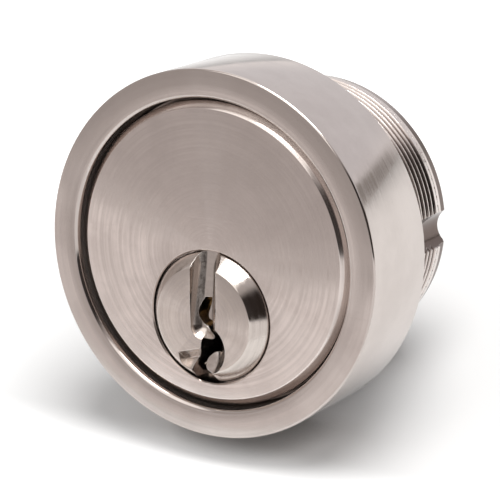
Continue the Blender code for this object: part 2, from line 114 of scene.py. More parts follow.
def curveOf(tree, factor, points):  # straight stretches from point to point
    made = node(tree, "ShaderNodeFloatCurve", {"Value": factor})
    line = made.mapping.curves[0]
    while len(line.points) < len(points):
        line.points.new(0.5, 0.5)
    for spot, (x, y) in zip(line.points, points):
        spot.location = (x, y)
        spot.handle_type = "VECTOR"
    made.mapping.update()
    return made.outputs[0]


# Shared effects, as shader groups

def makeTurningMarks():
    tree, given, out = newTree("turningMarks", "ShaderNodeTree", [
        ("Place", "NodeSocketVector", None),
        ("Drop", "NodeSocketFloat", 0.0),
        ("Coarse", "NodeSocketFloat", 2500.0),
        ("Fine", "NodeSocketFloat", 16000.0),
        ("Wobble", "NodeSocketFloat", 0.35),
    ], [("Height", "NodeSocketFloat"), ("Shade", "NodeSocketFloat"), ("Sector", "NodeSocketFloat")])
    spot = node(tree, "ShaderNodeSeparateXYZ", {0: given.outputs["Place"]})
    up = calc(tree, "ADD", spot.outputs[2], given.outputs["Drop"])
    across = calc(tree, "SQRT", calc(tree, "ADD", calc(tree, "MULTIPLY", spot.outputs[0], spot.outputs[0]),
                                     calc(tree, "MULTIPLY", up, up)))
    angle = calc(tree, "ARCTAN2", up, spot.outputs[0])
    track = node(tree, "ShaderNodeCombineXYZ", {0: across, 1: spot.outputs[1]})
    slow = node(tree, "ShaderNodeCombineXYZ", {
        0: calc(tree, "COSINE", angle), 1: calc(tree, "SINE", angle),
    })
    drift = node(tree, "ShaderNodeTexNoise", {
        "Vector": slow, "Scale": 1.7, "Detail": 2.5, "Roughness": 0.55,
    })
    drifted = calc(tree, "MULTIPLY", calc(tree, "SUBTRACT", drift.outputs[0], 0.5), given.outputs["Wobble"])
    # the rings waver outwards and change as they go round
    shift = node(tree, "ShaderNodeCombineXYZ", {
        0: calc(tree, "MULTIPLY", drifted, 0.0001), 2: calc(tree, "MULTIPLY", drifted, 0.0015),
    })
    wavering = node(tree, "ShaderNodeVectorMath", {0: track, 1: shift}, operation="ADD")
    rings = []
    for scaleName, detail in (("Coarse", 2.0), ("Fine", 4.0)):
        rings.append(node(tree, "ShaderNodeTexNoise", {
            "Vector": wavering, "Scale": given.outputs[scaleName], "Detail": detail, "Roughness": 0.65,
        }).outputs[0])
    height = calc(tree, "ADD", calc(tree, "MULTIPLY", rings[0], 0.6), calc(tree, "MULTIPLY", rings[1], 0.4))
    join(tree, out.inputs["Height"], height)
    join(tree, out.inputs["Shade"], ramp(tree, rings[0], 0.3, 0.7))
    join(tree, out.inputs["Sector"], drift.outputs[0])
    return tree


# edges: a mask for real wear and a painted highlight along them, nicks, and a rounded normal
def makeEdgeWearAndGlint():
    tree, given, out = newTree("edgeWearAndGlint", "ShaderNodeTree", [
        ("Place", "NodeSocketVector", None),
        ("Width", "NodeSocketFloat", 0.00008),
        ("Breakup", "NodeSocketFloat", 2200.0),
    ], [("Mask", "NodeSocketFloat"), ("Nicks", "NodeSocketFloat"), ("Normal", "NodeSocketVector")])
    bevelled = node(tree, "ShaderNodeBevel", {"Radius": given.outputs["Width"]}, samples=6)
    flat = node(tree, "ShaderNodeNewGeometry").outputs["Normal"]
    turn = node(tree, "ShaderNodeVectorMath", {0: bevelled, 1: flat}, operation="DOT_PRODUCT")
    edge = ramp(tree, turn.outputs["Value"], 0.995, 0.9)  # the cosine falls where an edge is near
    chips = node(tree, "ShaderNodeTexNoise", {
        "Vector": given.outputs["Place"], "Scale": given.outputs["Breakup"], "Detail": 3.0,
    })
    knocks = node(tree, "ShaderNodeTexNoise", {
        "Vector": given.outputs["Place"], "Scale": calc(tree, "MULTIPLY", given.outputs["Breakup"], 0.7),
        "Detail": 2.0,
    })
    for label, noise, low, high in (("Mask", chips, 0.35, 0.6), ("Nicks", knocks, 0.64, 0.68)):
        join(tree, out.inputs[label], calc(tree, "MULTIPLY", edge, ramp(tree, noise.outputs[0], low, high)))
    join(tree, out.inputs["Normal"], bevelled.outputs[0])
    return tree


def makeHandling():
    tree, given, out = newTree("handling", "ShaderNodeTree", [
        ("Place", "NodeSocketVector", None),
        ("Smudge Scale", "NodeSocketFloat", 220.0),
        ("Scratch Scale", "NodeSocketFloat", 900.0),
        ("Speck Scale", "NodeSocketFloat", 1500.0),
    ], [("Smudge", "NodeSocketFloat"), ("Scratch", "NodeSocketFloat"), ("Speck", "NodeSocketFloat")])
    smudge = node(tree, "ShaderNodeTexNoise", {
        "Vector": given.outputs["Place"], "Scale": given.outputs["Smudge Scale"],
        "Detail": 5.0, "Roughness": 0.6,
    })
    slanting = node(tree, "ShaderNodeMapping", {
        "Vector": given.outputs["Place"], "Rotation": (0.4, 0.7, 0.5), "Scale": (0.06, 1.0, 1.0),
    })
    lines = node(tree, "ShaderNodeTexNoise", {
        "Vector": slanting, "Scale": given.outputs["Scratch Scale"], "Detail": 6.0, "Roughness": 0.75,
    })
    cells = node(tree, "ShaderNodeTexVoronoi", {
        "Vector": given.outputs["Place"], "Scale": given.outputs["Speck Scale"],
    })
    join(tree, out.inputs["Smudge"], ramp(tree, smudge.outputs[0], 0.35, 0.65))
    join(tree, out.inputs["Scratch"], ramp(tree, lines.outputs[0], 0.63, 0.7))
    join(tree, out.inputs["Speck"], ramp(tree, cells.outputs["Distance"], 0.09, 0.05))
    return tree


turningMarks = makeTurningMarks()
edgeWearAndGlint = makeEdgeWearAndGlint()
handling = makeHandling()
print("shared effects ready")


# Metal finishes

# where a mark, a painted sheen or a painted shade begins and where it is full: by how square a face is to
# the axis (1 for the front, 0 for a turned side), by the drifting noise, and by the place along Y and Z in
# metres
markAndLightLimits = {
    "face": (0.9, 0.985), "rings": (0.2, 0.6), "bump": (0.3, 0.6), "sheenSector": (0.42, 0.66),
    "behindHead": (-0.007, -0.0065), "belowTop": (0.0135, 0.0095),
}


def tinted(tree, mask, amount, colour, tint):  # lays a tint over the colour where the mask is
    return blend(tree, calc(tree, "MULTIPLY", mask, amount), colour, tint)


def shadeInThread(tree, place, look):  # painted shade in the thread's grooves: below the crest radius and behind the head, less at the top, where the light falls
    crest, root = look["grooved"]
    spot = node(tree, "ShaderNodeSeparateXYZ", {0: place})
    behind = ramp(tree, spot.outputs[1], *markAndLightLimits["behindHead"])
    lessAtTop = ramp(tree, spot.outputs[2], *markAndLightLimits["belowTop"], look["topShade"], 1.0)
    deep = ramp(tree, fromAxis(tree, place), crest, root)
    return calc(tree, "MULTIPLY", deep, calc(tree, "MULTIPLY", behind, lessAtTop))


def paintedLightInGap(tree, place, look):  # where the gap gets a painted dim light: between two radii and behind a place along Y, all in metres
    low, high, deep, shallow = look["gap"]
    away = fromAxis(tree, place)
    inside = calc(tree, "MULTIPLY", calc(tree, "GREATER_THAN", away, low),
                  calc(tree, "LESS_THAN", away, high))
    along = node(tree, "ShaderNodeSeparateXYZ", {0: place}).outputs[1]
    return calc(tree, "MULTIPLY", inside, ramp(tree, along, shallow, deep))


def roundTheAxis(tree, place, drop):  # the way in which the piece was turned
    spot = node(tree, "ShaderNodeVectorMath", {0: place, 1: (0, 0, drop)}, operation="ADD")
    along = node(tree, "ShaderNodeVectorMath", {0: spot, 1: (0, 1, 0)}, operation="CROSS_PRODUCT")
    return node(tree, "ShaderNodeVectorTransform", {0: along}, vector_type="VECTOR",
                convert_from="OBJECT", convert_to="WORLD")


def metal(name, look):
    material = bpy.data.materials.new(name)
    material.use_nodes = True
    tree = material.node_tree
    shader = tree.nodes["Principled BSDF"]
    place = node(tree, "ShaderNodeTexCoord").outputs["Object"]
    marks = node(tree, "ShaderNodeGroup", {
        "Place": place, "Drop": look["drop"], "Coarse": look["coarse"], "Fine": look["fine"],
        "Wobble": look["wobble"],
    }, node_tree=turningMarks)
    wearAndGlint = node(tree, "ShaderNodeGroup", {"Place": place, "Width": look["edge"]}, node_tree=edgeWearAndGlint)
    age = node(tree, "ShaderNodeGroup", {"Place": place}, node_tree=handling)

    # faces square to the axis are satin, the turned sides are brighter
    lie = node(tree, "ShaderNodeSeparateXYZ", {0: node(tree, "ShaderNodeTexCoord").outputs["Normal"]})
    square = calc(tree, "ABSOLUTE", lie.outputs[1])
    facing = ramp(tree, square, *markAndLightLimits["face"])
    rough = ramp(tree, facing, 0.0, 1.0, look["sideRough"], look["faceRough"])
    ringed = calc(tree, "SUBTRACT", marks.outputs["Shade"], 0.5)
    rough = calc(tree, "MULTIPLY_ADD", ringed, look["ringRough"], rough)
    rough = calc(tree, "MULTIPLY_ADD", age.outputs["Smudge"], look["smudgeRough"], rough)
    join(tree, shader.inputs["Roughness"], rough)

    colour = tinted(tree, age.outputs["Smudge"], look["smudge"], look["colour"], look["shade"])
    # the rings show on faces and cones, hardly on the sides
    rings = calc(tree, "MULTIPLY", marks.outputs["Shade"],
                 ramp(tree, square, *markAndLightLimits["rings"], look["sideRings"], 1.0))
    colour = tinted(tree, rings, look["ringShade"], colour, look["shade"])
    # painted sheen: faces square to the axis are lighter in slow sectors round the axis, the radial gloss
    # of a turned face
    sheenSector = calc(tree, "MULTIPLY", ramp(tree, marks.outputs["Sector"], *markAndLightLimits["sheenSector"]), facing)
    colour = tinted(tree, sheenSector, look["sheenSector"], colour, look["bright"])
    colour = tinted(tree, age.outputs["Speck"], look["speck"], colour, look["grime"])
    solid = look["metallic"]
    if "grooved" in look:
        # painted shade: the thread's grooves are darker, less so at the top
        colour = tinted(tree, shadeInThread(tree, place, look), look["grooveShade"], colour, look["threadShade"])
    if "gap" in look:
        # painted light in the deep gap: a dull, less metallic brown, so the gap reads dark brown rather
        # than black
        dust = paintedLightInGap(tree, place, look)
        colour = blend(tree, dust, colour, look["dust"])
        solid = calc(tree, "MULTIPLY_ADD", dust, -look["dustDull"], solid)
    # rubbed edges lighter: partly real wear, partly a painted highlight along the edges
    colour = tinted(tree, wearAndGlint.outputs["Mask"], look["wearAndGlint"], colour, look["bright"])
    colour = tinted(tree, wearAndGlint.outputs["Nicks"], look["nickGrime"], colour, look["grime"])
    join(tree, shader.inputs["Base Color"], colour)
    join(tree, shader.inputs["Metallic"], solid)

    depth = calc(tree, "MULTIPLY", marks.outputs["Height"],
                 ramp(tree, square, *markAndLightLimits["bump"], look["sideBump"], 1.0))
    dents = calc(tree, "MULTIPLY", calc(tree, "ADD", wearAndGlint.outputs["Mask"], wearAndGlint.outputs["Nicks"]),
                 look["nick"])
    sunk = calc(tree, "MULTIPLY_ADD", age.outputs["Scratch"], look["scratch"], dents)
    bump = node(tree, "ShaderNodeBump", {
        "Strength": 1.0, "Distance": look["bump"], "Height": calc(tree, "SUBTRACT", depth, sunk),
        "Normal": wearAndGlint.outputs["Normal"],
    })
    join(tree, shader.inputs["Normal"], bump)
    if look["anisotropic"]:
        # the tangent runs round the axis; a quarter turn spreads the gloss across the turning marks
        shader.inputs["Anisotropic"].default_value = look["anisotropic"]
        shader.inputs["Anisotropic Rotation"].default_value = 0.25
        join(tree, shader.inputs["Tangent"], roundTheAxis(tree, place, look["drop"]))
    return material


nickelLook = {
    "colour": (0.62, 0.565, 0.535), "shade": (0.47, 0.42, 0.395), "bright": (0.86, 0.81, 0.78),
    "grime": (0.13, 0.10, 0.085), "threadShade": (0.075, 0.044, 0.033), "dust": (0.30, 0.245, 0.215),
    "metallic": 1.0, "anisotropic": 0.0, "drop": 0.0, "coarse": 2600.0, "fine": 15000.0, "wobble": 0.35,
    "sideRough": 0.14, "faceRough": 0.28, "ringRough": 0.10, "smudgeRough": 0.04,
    "smudge": 0.3, "ringShade": 0.34, "sideRings": 0.25, "sheenSector": 0.2, "speck": 0.2,
    "edge": 0.00007, "wearAndGlint": 0.8, "nick": 0.5, "nickGrime": 0.8, "scratch": 0.16,
    "bump": 0.000008, "sideBump": 0.12, "grooveShade": 0.9, "topShade": 0.45, "dustDull": 0.45,
}
brassLook = dict(nickelLook, colour=(0.72, 0.50, 0.21), shade=(0.52, 0.34, 0.13), bright=(0.9, 0.72, 0.4),
                 grime=(0.2, 0.12, 0.05), sideRough=0.24)
materials = {
    "nickel": metal("nickelPlate", dict(
        nickelLook, colour=(0.76, 0.69, 0.655), faceRough=0.12, anisotropic=0.6, bump=0.000006,
        grooved=(0.01458, 0.01438), gap=(0.01515, 0.01545, -0.0080, -0.0096))),
    "collar": metal("nickelPolished", dict(
        nickelLook, colour=(0.60, 0.545, 0.515), sideRough=0.08, faceRough=0.13, anisotropic=0.6,
        ringShade=0.15, bump=0.0000025, gap=(0.0149, 0.01575, -0.0085, -0.0101))),
    "plug": metal("nickelPlug", dict(
        nickelLook, colour=(0.68, 0.62, 0.575), faceRough=0.15, anisotropic=0.5, sheenSector=0.15,
        bump=0.000006, drop=plugDrop * mm)),
    "cam": metal("nickelStamped", dict(nickelLook, faceRough=0.34, sideRough=0.3, drop=plugDrop * mm)),
    "brass": metal("brassTurned", brassLook),
    "pin": metal("pinSteel", dict(nickelLook, colour=(0.56, 0.56, 0.57), shade=(0.42, 0.42, 0.43))),
    "spring": metal("springSteel", dict(
        nickelLook, colour=(0.50, 0.50, 0.51), shade=(0.36, 0.36, 0.38), sideRough=0.22)),
    "screw": metal("screwSteel", dict(
        nickelLook, colour=(0.46, 0.46, 0.47), shade=(0.3, 0.3, 0.32), faceRough=0.34, sideRough=0.3)),
}
print("materials ready")


# Solid shapes

def shown(obj):
    if not obj.users_collection:
        scene.collection.objects.link(obj)
    return obj


def tidyMesh(bm, name):
    bmesh.ops.remove_doubles(bm, verts=bm.verts, dist=0.0000005)
    bmesh.ops.recalc_face_normals(bm, faces=bm.faces)
    mesh = bpy.data.meshes.new(name)
    bm.to_mesh(mesh)
    bm.free()
    return mesh


def softened(corners, fillet, parts=3):  # rounds the corners of a (forward, radius) line
    made = [corners[0]]
    for before, corner, after in zip(corners, corners[1:], corners[2:]):
        middle = Vector(corner)
        toBefore, toAfter = Vector(before) - middle, Vector(after) - middle
        reach = min(fillet, 0.4 * toBefore.length, 0.4 * toAfter.length)
        start, end = middle + toBefore.normalized() * reach, middle + toAfter.normalized() * reach
        for step in range(parts + 1):
            t = step / parts
            made.append(tuple(start * (1 - t) ** 2 + middle * 2 * t * (1 - t) + end * t * t))
    made.append(corners[-1])
    return made


def lathe(name, line, steps, drop=0.0, ring=False):  # turns (forward, radius) round the axis
    bm = bmesh.new()
    rows = []
    for forward, radius in line:
        count = steps if radius > 0.0001 else 1
        rows.append([bm.verts.new((radius * mm * math.cos(2 * math.pi * i / steps), -forward * mm,
                                   (radius * math.sin(2 * math.pi * i / steps) - drop) * mm))
                     for i in range(count)])
    if ring:
        rows.append(rows[0])
    for here, there in zip(rows, rows[1:]):
        for i in range(steps):
            j = (i + 1) % steps
            corners = [here[i % len(here)], here[j % len(here)],
                       there[j % len(there)], there[i % len(there)]]
            bm.faces.new(list(dict.fromkeys(corners)))
    return bpy.data.objects.new(name, tidyMesh(bm, name))


def uprightRod(name, line, steps, forward, drop=0.0):  # turns (height, radius) round an upright line
    obj = lathe(name, line, steps)
    for vertex in obj.data.vertices:
        x, y, z = vertex.co
        vertex.co = (x, -forward * mm + z, -y - drop * mm)
    return obj


def rodLine(start, end, radius):  # the line that makes a plain rod
    return [(start, 0.0), (start, radius), (end, radius), (end, 0.0)]


# an outline of (x, up, kind) points, extruded along the axis; the line runs smoothly through an "R" point
def pressed(name, outline, front, back, drop=0.0, resolution=8):
    curve = bpy.data.curves.new(name, "CURVE")
    curve.dimensions = "2D"
    curve.fill_mode = "BOTH"
    curve.extrude = (front - back) / 2 * mm
    curve.resolution_u = resolution
    spline = curve.splines.new("BEZIER")
    spline.bezier_points.add(len(outline) - 1)
    spline.use_cyclic_u = True
    for point, (x, up, kind) in zip(spline.bezier_points, outline):
        point.co = (x * mm, up * mm, 0)
        point.handle_left_type = point.handle_right_type = "AUTO" if kind == "R" else "VECTOR"
    flat = shown(bpy.data.objects.new(name, curve))
    mesh = plain(flat)
    bm = bmesh.new()
    bm.from_mesh(mesh)
    for vertex in bm.verts:
        x, up, depth = vertex.co
        vertex.co = (x, -depth - (front + back) / 2 * mm, up - drop * mm)
    bpy.data.objects.remove(flat)
    return bpy.data.objects.new(name, tidyMesh(bm, name))


def plain(obj):  # what the object's modifiers make, as a mesh of its own
    bpy.context.view_layer.update()
    seen = obj.evaluated_get(bpy.context.evaluated_depsgraph_get())
    return bpy.data.meshes.new_from_object(seen)


def machined(obj, cutters):  # takes each cutter away in turn, in millimetres, and tidies after each cut
    shown(obj)
    obj.data.transform(Matrix.Scale(1 / mm, 4))
    for cutter in cutters:
        shown(cutter)
        cutter.data.transform(Matrix.Scale(1 / mm, 4))
        step = obj.modifiers.new(cutter.name, "BOOLEAN")
        step.operation = "DIFFERENCE"
        step.solver = "EXACT"
        step.object = cutter
        mesh = plain(obj)
        obj.modifiers.clear()
        obj.data = mesh
        fixed(obj)
        bpy.data.objects.remove(cutter)
    obj.data.transform(Matrix.Scale(mm, 4))
    return obj


def fixed(obj):  # merges what lies together and turns the faces outwards
    bm = bmesh.new()
    bm.from_mesh(obj.data)
    obj.data = tidyMesh(bm, obj.name)
    return obj


def moved(obj, x=0.0, forward=0.0, up=0.0):  # millimetres
    obj.data.transform(Matrix.Translation((x * mm, -forward * mm, up * mm)))
    return obj


def turned(obj, degrees, axis):
    obj.data.transform(Matrix.Rotation(math.radians(degrees), 4, axis))
    return obj


def finished(obj, material, body, nodes, sharp=32):
    mesh = obj.data
    mesh.materials.clear()
    mesh.materials.append(material)
    mesh.shade_smooth()
    mesh.set_sharp_from_angle(angle=math.radians(sharp))
    shown(obj)
    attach(obj, body)
    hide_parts(*nodes)
    return obj


# Collar

collarSize = {"outer": 18.5, "recess": 15.65, "bore": 14.9, "depth": 10.4, "shoulder": 7.0,
              "lip": 0.25, "edge": 0.15, "back": 0.3, "fillet": 0.07, "steps": 256}


def makeCollar(size):
    line = [
        (size["depth"] - size["lip"], size["recess"]),
        (size["depth"], size["recess"] + size["lip"]),
        (size["depth"], size["outer"] - size["edge"]),
        (size["depth"] - size["edge"], size["outer"]),
        (size["back"], size["outer"]),
        (0.0, size["outer"] - size["back"]),
        (0.0, size["bore"] + size["back"]),
        (size["back"], size["bore"]),
        (size["shoulder"], size["bore"]),
        (size["shoulder"], size["recess"]),
    ]
    around = softened([line[-1]] + line + [line[0]], size["fillet"])[1:-1]
    return lathe("trimCollar", around, size["steps"], ring=True)


finished(makeCollar(collarSize), materials["collar"], "collar", ["collar"])
print("collar turned")


# Threaded barrel with its head

barrelSize = {"crest": 14.6, "headRadius": 15.3, "face": 10.05, "headBack": 7.05, "chamfer": 0.75,
              "neck": 14.05, "neckWidth": 0.876, "end": -12.65, "bandWidth": 1.6, "band": 14.3,
              "bandStep": 0.15, "endChamfer": 0.3, "fillet": 0.09, "steps": 192}
threadSize = {"pitch": 0.794, "depth": 0.49, "mouth": 0.68, "root": 0.12, "front": 6.2195, "back": -10.6,
              "steps": 96}
boreSize = {"radius": 6.45, "headRadius": 6.75, "step": 7.8, "mouth": 6.95, "mouthFront": 10.12,
            "mouthBack": 9.92, "front": 12.0, "back": -14.0, "steps": 128}
pinSize = {"first": 5.25, "pitch": 3.7, "count": 5, "hole": 1.5, "capBottom": 12.7, "chamberTop": 15.6,
           "chamberBottom": -6.3, "plugTop": 8.35, "cone": -0.15, "tip": -0.95, "tipRadius": 0.52,
           "steps": 48, "plugSteps": 32}
setScrewSize = {"radius": 2.0, "aside": 15.25, "front": 5.05, "back": -14.0, "steps": 48}


def makeThreadTree():
    tree, given, out = newTree("threadGroove", "GeometryNodeTree", [
        ("Geometry", "NodeSocketGeometry", None),
        ("Crest Radius", "NodeSocketFloat", 0.0146),
        ("Depth", "NodeSocketFloat", 0.0005),
        ("Mouth Width", "NodeSocketFloat", 0.0007),
        ("Root Width", "NodeSocketFloat", 0.0001),
        ("Pitch", "NodeSocketFloat", 0.0008),
        ("Turns", "NodeSocketFloat", 20.0),
        ("Start", "NodeSocketFloat", 0.007),
        ("Steps", "NodeSocketInt", 2000),
        ("Material", "NodeSocketMaterial", None),
    ], [("Geometry", "NodeSocketGeometry")])
    grid = node(tree, "GeometryNodeMeshGrid", {
        "Size X": 1.0, "Size Y": 1.0, "Vertices X": given.outputs["Steps"], "Vertices Y": 5,
    })
    spot = node(tree, "ShaderNodeSeparateXYZ", {0: node(tree, "GeometryNodeInputPosition")})
    along = calc(tree, "ADD", spot.outputs[0], 0.5)
    section = calc(tree, "ADD", spot.outputs[1], 0.5)
    # four corners of the groove's section: out at the mouth, in at the root
    outward = curveOf(tree, section, [(0, 1), (0.25, 1), (0.5, 0), (0.75, 0), (1, 1)])
    sideways = curveOf(tree, section, [(0, 0), (0.25, 1), (0.5, 1), (0.75, 0), (1, 0)])
    # the groove runs out at both ends
    fade = curveOf(tree, along, [(0, 0), (0.03, 1), (0.97, 1), (1, 0)])
    swell = node(tree, "ShaderNodeMix", data_type="FLOAT")
    join(tree, swell.inputs[0], outward)
    join(tree, swell.inputs[2], given.outputs["Root Width"])
    join(tree, swell.inputs[3], given.outputs["Mouth Width"])
    width = calc(tree, "MULTIPLY", swell.outputs[0], fade)
    shift = calc(tree, "MULTIPLY", calc(tree, "SUBTRACT", sideways, 0.5), width)
    cut = calc(tree, "MULTIPLY", given.outputs["Depth"], fade)
    root = calc(tree, "SUBTRACT", given.outputs["Crest Radius"], cut)
    rise = calc(tree, "MULTIPLY", outward, calc(tree, "MULTIPLY", cut, 1.02))  # a little past the crest
    radius = calc(tree, "ADD", root, rise)
    turn = calc(tree, "MULTIPLY", along, given.outputs["Turns"])
    angle = calc(tree, "MULTIPLY", turn, 2 * math.pi)
    run = calc(tree, "MULTIPLY", turn, given.outputs["Pitch"])
    back = calc(tree, "ADD", calc(tree, "SUBTRACT", run, given.outputs["Start"]), shift)
    where = node(tree, "ShaderNodeCombineXYZ", {
        0: calc(tree, "MULTIPLY", radius, calc(tree, "COSINE", angle)), 1: back,
        2: calc(tree, "MULTIPLY", radius, calc(tree, "SINE", angle)),
    })
    bent = node(tree, "GeometryNodeSetPosition", {"Geometry": grid, "Position": where})
    closed = node(tree, "GeometryNodeMergeByDistance", {"Geometry": bent, "Distance": 0.000001})
    real = node(tree, "GeometryNodeRealizeInstances", {"Geometry": closed})
    dressed = node(tree, "GeometryNodeSetMaterial", {
        "Geometry": real, "Material": given.outputs["Material"],
    })
    join(tree, out.inputs[0], dressed)
    return tree


def grown(name, tree, values):  # a new mesh object that a geometry tree makes
    obj = shown(bpy.data.objects.new(name, bpy.data.meshes.new(name)))
    step = obj.modifiers.new(name, "NODES")
    step.node_group = tree
    for item in tree.interface.items_tree:
        if item.in_out == "INPUT" and item.name in values:
            step[item.identifier] = values[item.name]
    mesh = plain(obj)
    bpy.data.objects.remove(obj)
    bm = bmesh.new()
    bm.from_mesh(mesh)
    return bpy.data.objects.new(name, tidyMesh(bm, name))


def pinForward(number):
    return pinSize["first"] - number * pinSize["pitch"]


def threadCutter(size, crest):
    turns = (size["front"] - size["back"]) / size["pitch"]
    return grown("threadGroove", makeThreadTree(), {
        "Crest Radius": crest * mm, "Depth": size["depth"] * mm, "Mouth Width": size["mouth"] * mm,
        "Root Width": size["root"] * mm, "Pitch": size["pitch"] * mm, "Turns": turns,
        "Start": size["front"] * mm, "Steps": int(turns * size["steps"]), "Material": materials["nickel"],
    })


def boreCutter(size):  # its mouth leaves a small chamfer in the face
    return lathe("plugBore", [
        (size["front"], 0.0),
        (size["front"], size["mouth"]),
        (size["mouthFront"], size["mouth"]),
        (size["mouthBack"], size["headRadius"]),
        (size["step"], size["headRadius"]),
        (size["step"], size["radius"]),
        (size["back"], size["radius"]),
        (size["back"], 0.0),
    ], size["steps"], drop=plugDrop)


def makeBarrel(size, thread, bore, pins, setScrew):
    line = softened([
        (size["face"], 0.0),
        (size["face"], size["headRadius"] - size["chamfer"]),
        (size["face"] - size["chamfer"], size["headRadius"]),
        (size["headBack"], size["headRadius"]),
        (size["headBack"], size["neck"]),
        (size["headBack"] - size["neckWidth"], size["neck"]),
        (size["headBack"] - size["neckWidth"] - size["crest"] + size["neck"], size["crest"]),
        (size["end"] + size["bandWidth"], size["crest"]),
        (size["end"] + size["bandWidth"] - size["bandStep"], size["band"]),
        (size["end"] + size["endChamfer"], size["band"]),
        (size["end"], size["band"] - size["endChamfer"]),
        (size["end"], 0.0),
    ], size["fillet"])
    cutters = [threadCutter(thread, size["crest"]), boreCutter(bore)]
    chamber = rodLine(pins["chamberTop"], pins["chamberBottom"], pins["hole"])
    for number in range(pins["count"]):
        cutters.append(uprightRod(f"chamber{number}", chamber, pins["steps"], pinForward(number)))
    groove = rodLine(setScrew["front"], setScrew["back"], setScrew["radius"])
    for side in (-1, 1):
        rod = lathe(f"setScrewGroove{side}", groove, setScrew["steps"])
        cutters.append(moved(rod, x=side * setScrew["aside"]))
    return machined(lathe("threadedBarrel", line, size["steps"]), cutters)


finished(makeBarrel(barrelSize, threadSize, boreSize, pinSize, setScrewSize), materials["nickel"],
         "housing", ["cylinder_body"])
print("barrel threaded")


# Plug: bevelled face, scoop, keyway, dish and notch

plugSize = {"face": 11.45, "faceRadius": 5.31, "headRadius": 6.61, "bevelBack": 1.6, "headBack": 7.85,
            "radius": 6.35, "end": -12.95, "fillet": 0.1, "keywayPast": 2.0, "steps": 192}
scoopSize = {"radius": 1.5, "tilt": 8.0, "crossing": 2.6, "end": -0.5, "top": 8.6, "parts": 12, "steps": 72}
dishSize = {"radius": 2.8, "depth": 1.3, "x": -0.25, "up": -2.95, "leftEdge": -0.15, "parts": 26,
            "steps": 100}
notchSize = {"edge": -2.75, "tilt": 17.0, "length": 2.9, "depth": 1.0, "steep": 47.0, "gentle": 30.0,
             "end": -0.1, "above": 2.0}
screwSize = {"aside": 3.9, "rise": 0.6, "hole": 1.23, "holeFront": -9.3, "holeBack": -15.0, "seat": -15.45,
             "shank": 1.15, "length": 6.0, "tipChamfer": 0.2, "head": 2.1, "tall": 1.4, "crown": 0.47,
             "fillet": 0.35, "slotWide": 0.6, "slotDeep": 0.7, "turned": 25.0, "steps": 64, "holeSteps": 32}
# points (x, up, kind) about the plug's axis, from the top left clockwise
keyway = (
    (-0.52, 2.06, ""), (0.22, 2.12, ""), (0.22, 1.60, "R"), (0.05, 0.90, "R"), (-0.04, 0.44, "R"),
    (0.06, 0.04, "R"), (0.56, -0.12, ""), (0.72, -0.75, "R"), (1.45, -1.45, "R"), (1.98, -2.25, "R"),
    (1.85, -3.05, ""), (1.15, -3.20, "R"), (0.24, -3.75, "R"), (-0.15, -4.45, "R"), (0.05, -5.00, "R"),
    (1.00, -5.25, ""), (1.05, -6.35, ""), (1.05, -8.61, ""), (-1.55, -8.61, ""), (-1.55, -6.35, ""),
    (-1.50, -5.40, "R"), (-1.20, -4.40, "R"), (-0.62, -3.55, "R"), (-0.30, -2.85, "R"), (-0.22, -2.17, ""),
    (0.60, -1.98, "R"), (0.74, -1.60, "R"), (0.10, -0.95, "R"), (-0.49, -0.52, "R"), (-0.90, 0.14, "R"),
    (-0.98, 0.84, "R"), (-0.76, 1.55, "R"),
)


def scoopCutter(size, face):  # a leaning ball-ended rod
    end = (size["end"] - size["crossing"]) / math.cos(math.radians(size["tilt"]))
    line = [(size["top"], 0.0), (size["top"], size["radius"])]
    for step in range(size["parts"] + 1):
        angle = step * math.pi / (2 * size["parts"])
        line.append((end - size["radius"] * math.sin(angle), size["radius"] * math.cos(angle)))
    line[-1] = (end - size["radius"], 0.0)
    rod = turned(lathe("scoop", line, size["steps"]), 90, "X")  # forward turns to up
    rod.data.transform(Matrix.Scale(-1, 4, (0, 0, 1)))
    turned(rod, -size["tilt"], "X")
    return fixed(moved(rod, forward=face, up=size["crossing"] - plugDrop))


def dishCutter(size, face):  # a ball about a line across the face, cut off flat at its left edge
    ball = (size["radius"] ** 2 + size["depth"] ** 2) / (2 * size["depth"])
    widest = math.acos((size["leftEdge"] - size["x"]) / ball)
    line = [(size["leftEdge"], 0.0)]
    for step in range(size["parts"]):
        angle = widest * (1 - step / size["parts"])
        line.append((size["x"] + ball * math.cos(angle), ball * math.sin(angle)))
    line.append((size["x"] + ball, 0.0))
    dish = turned(lathe("dish", line, size["steps"]), 90, "Z")  # forward turns to the right
    return moved(dish, forward=face + ball - size["depth"], up=size["up"] - plugDrop)


def notchCutter(size, face):  # a V bar that leans across the face
    steep, gentle = math.tan(math.radians(size["steep"])), math.tan(math.radians(size["gentle"]))
    valley, reach = size["depth"] / steep, size["depth"] + size["above"]
    outline = [(valley, size["depth"], ""), (valley - reach / steep, -size["above"], ""),
               (valley + reach / gentle, -size["above"], "")]
    bar = pressed("notch", outline, size["length"] / 2, -size["length"] / 2)
    # the outline was drawn as (down, back), along the axis; turn it to lie across the face
    bar.data.transform(Matrix(((0, -1, 0, 0), (0, 0, 1, 0), (-1, 0, 0, 0), (0, 0, 0, 1))))
    turned(bar, -size["tilt"], "Y")
    tilt = math.radians(size["tilt"])
    return fixed(moved(bar, x=size["end"] - size["length"] / 2 * math.cos(tilt), forward=face,
                       up=size["edge"] - size["length"] / 2 * math.sin(tilt) - plugDrop))


def screwHoles(name, size, front, back, steps):  # two rods, where the cam's screws go
    return [moved(lathe(f"{name}{side}", rodLine(front, back, size["hole"]), steps,
                        drop=plugDrop - size["rise"]), x=side * size["aside"])
            for side in (-1, 1)]


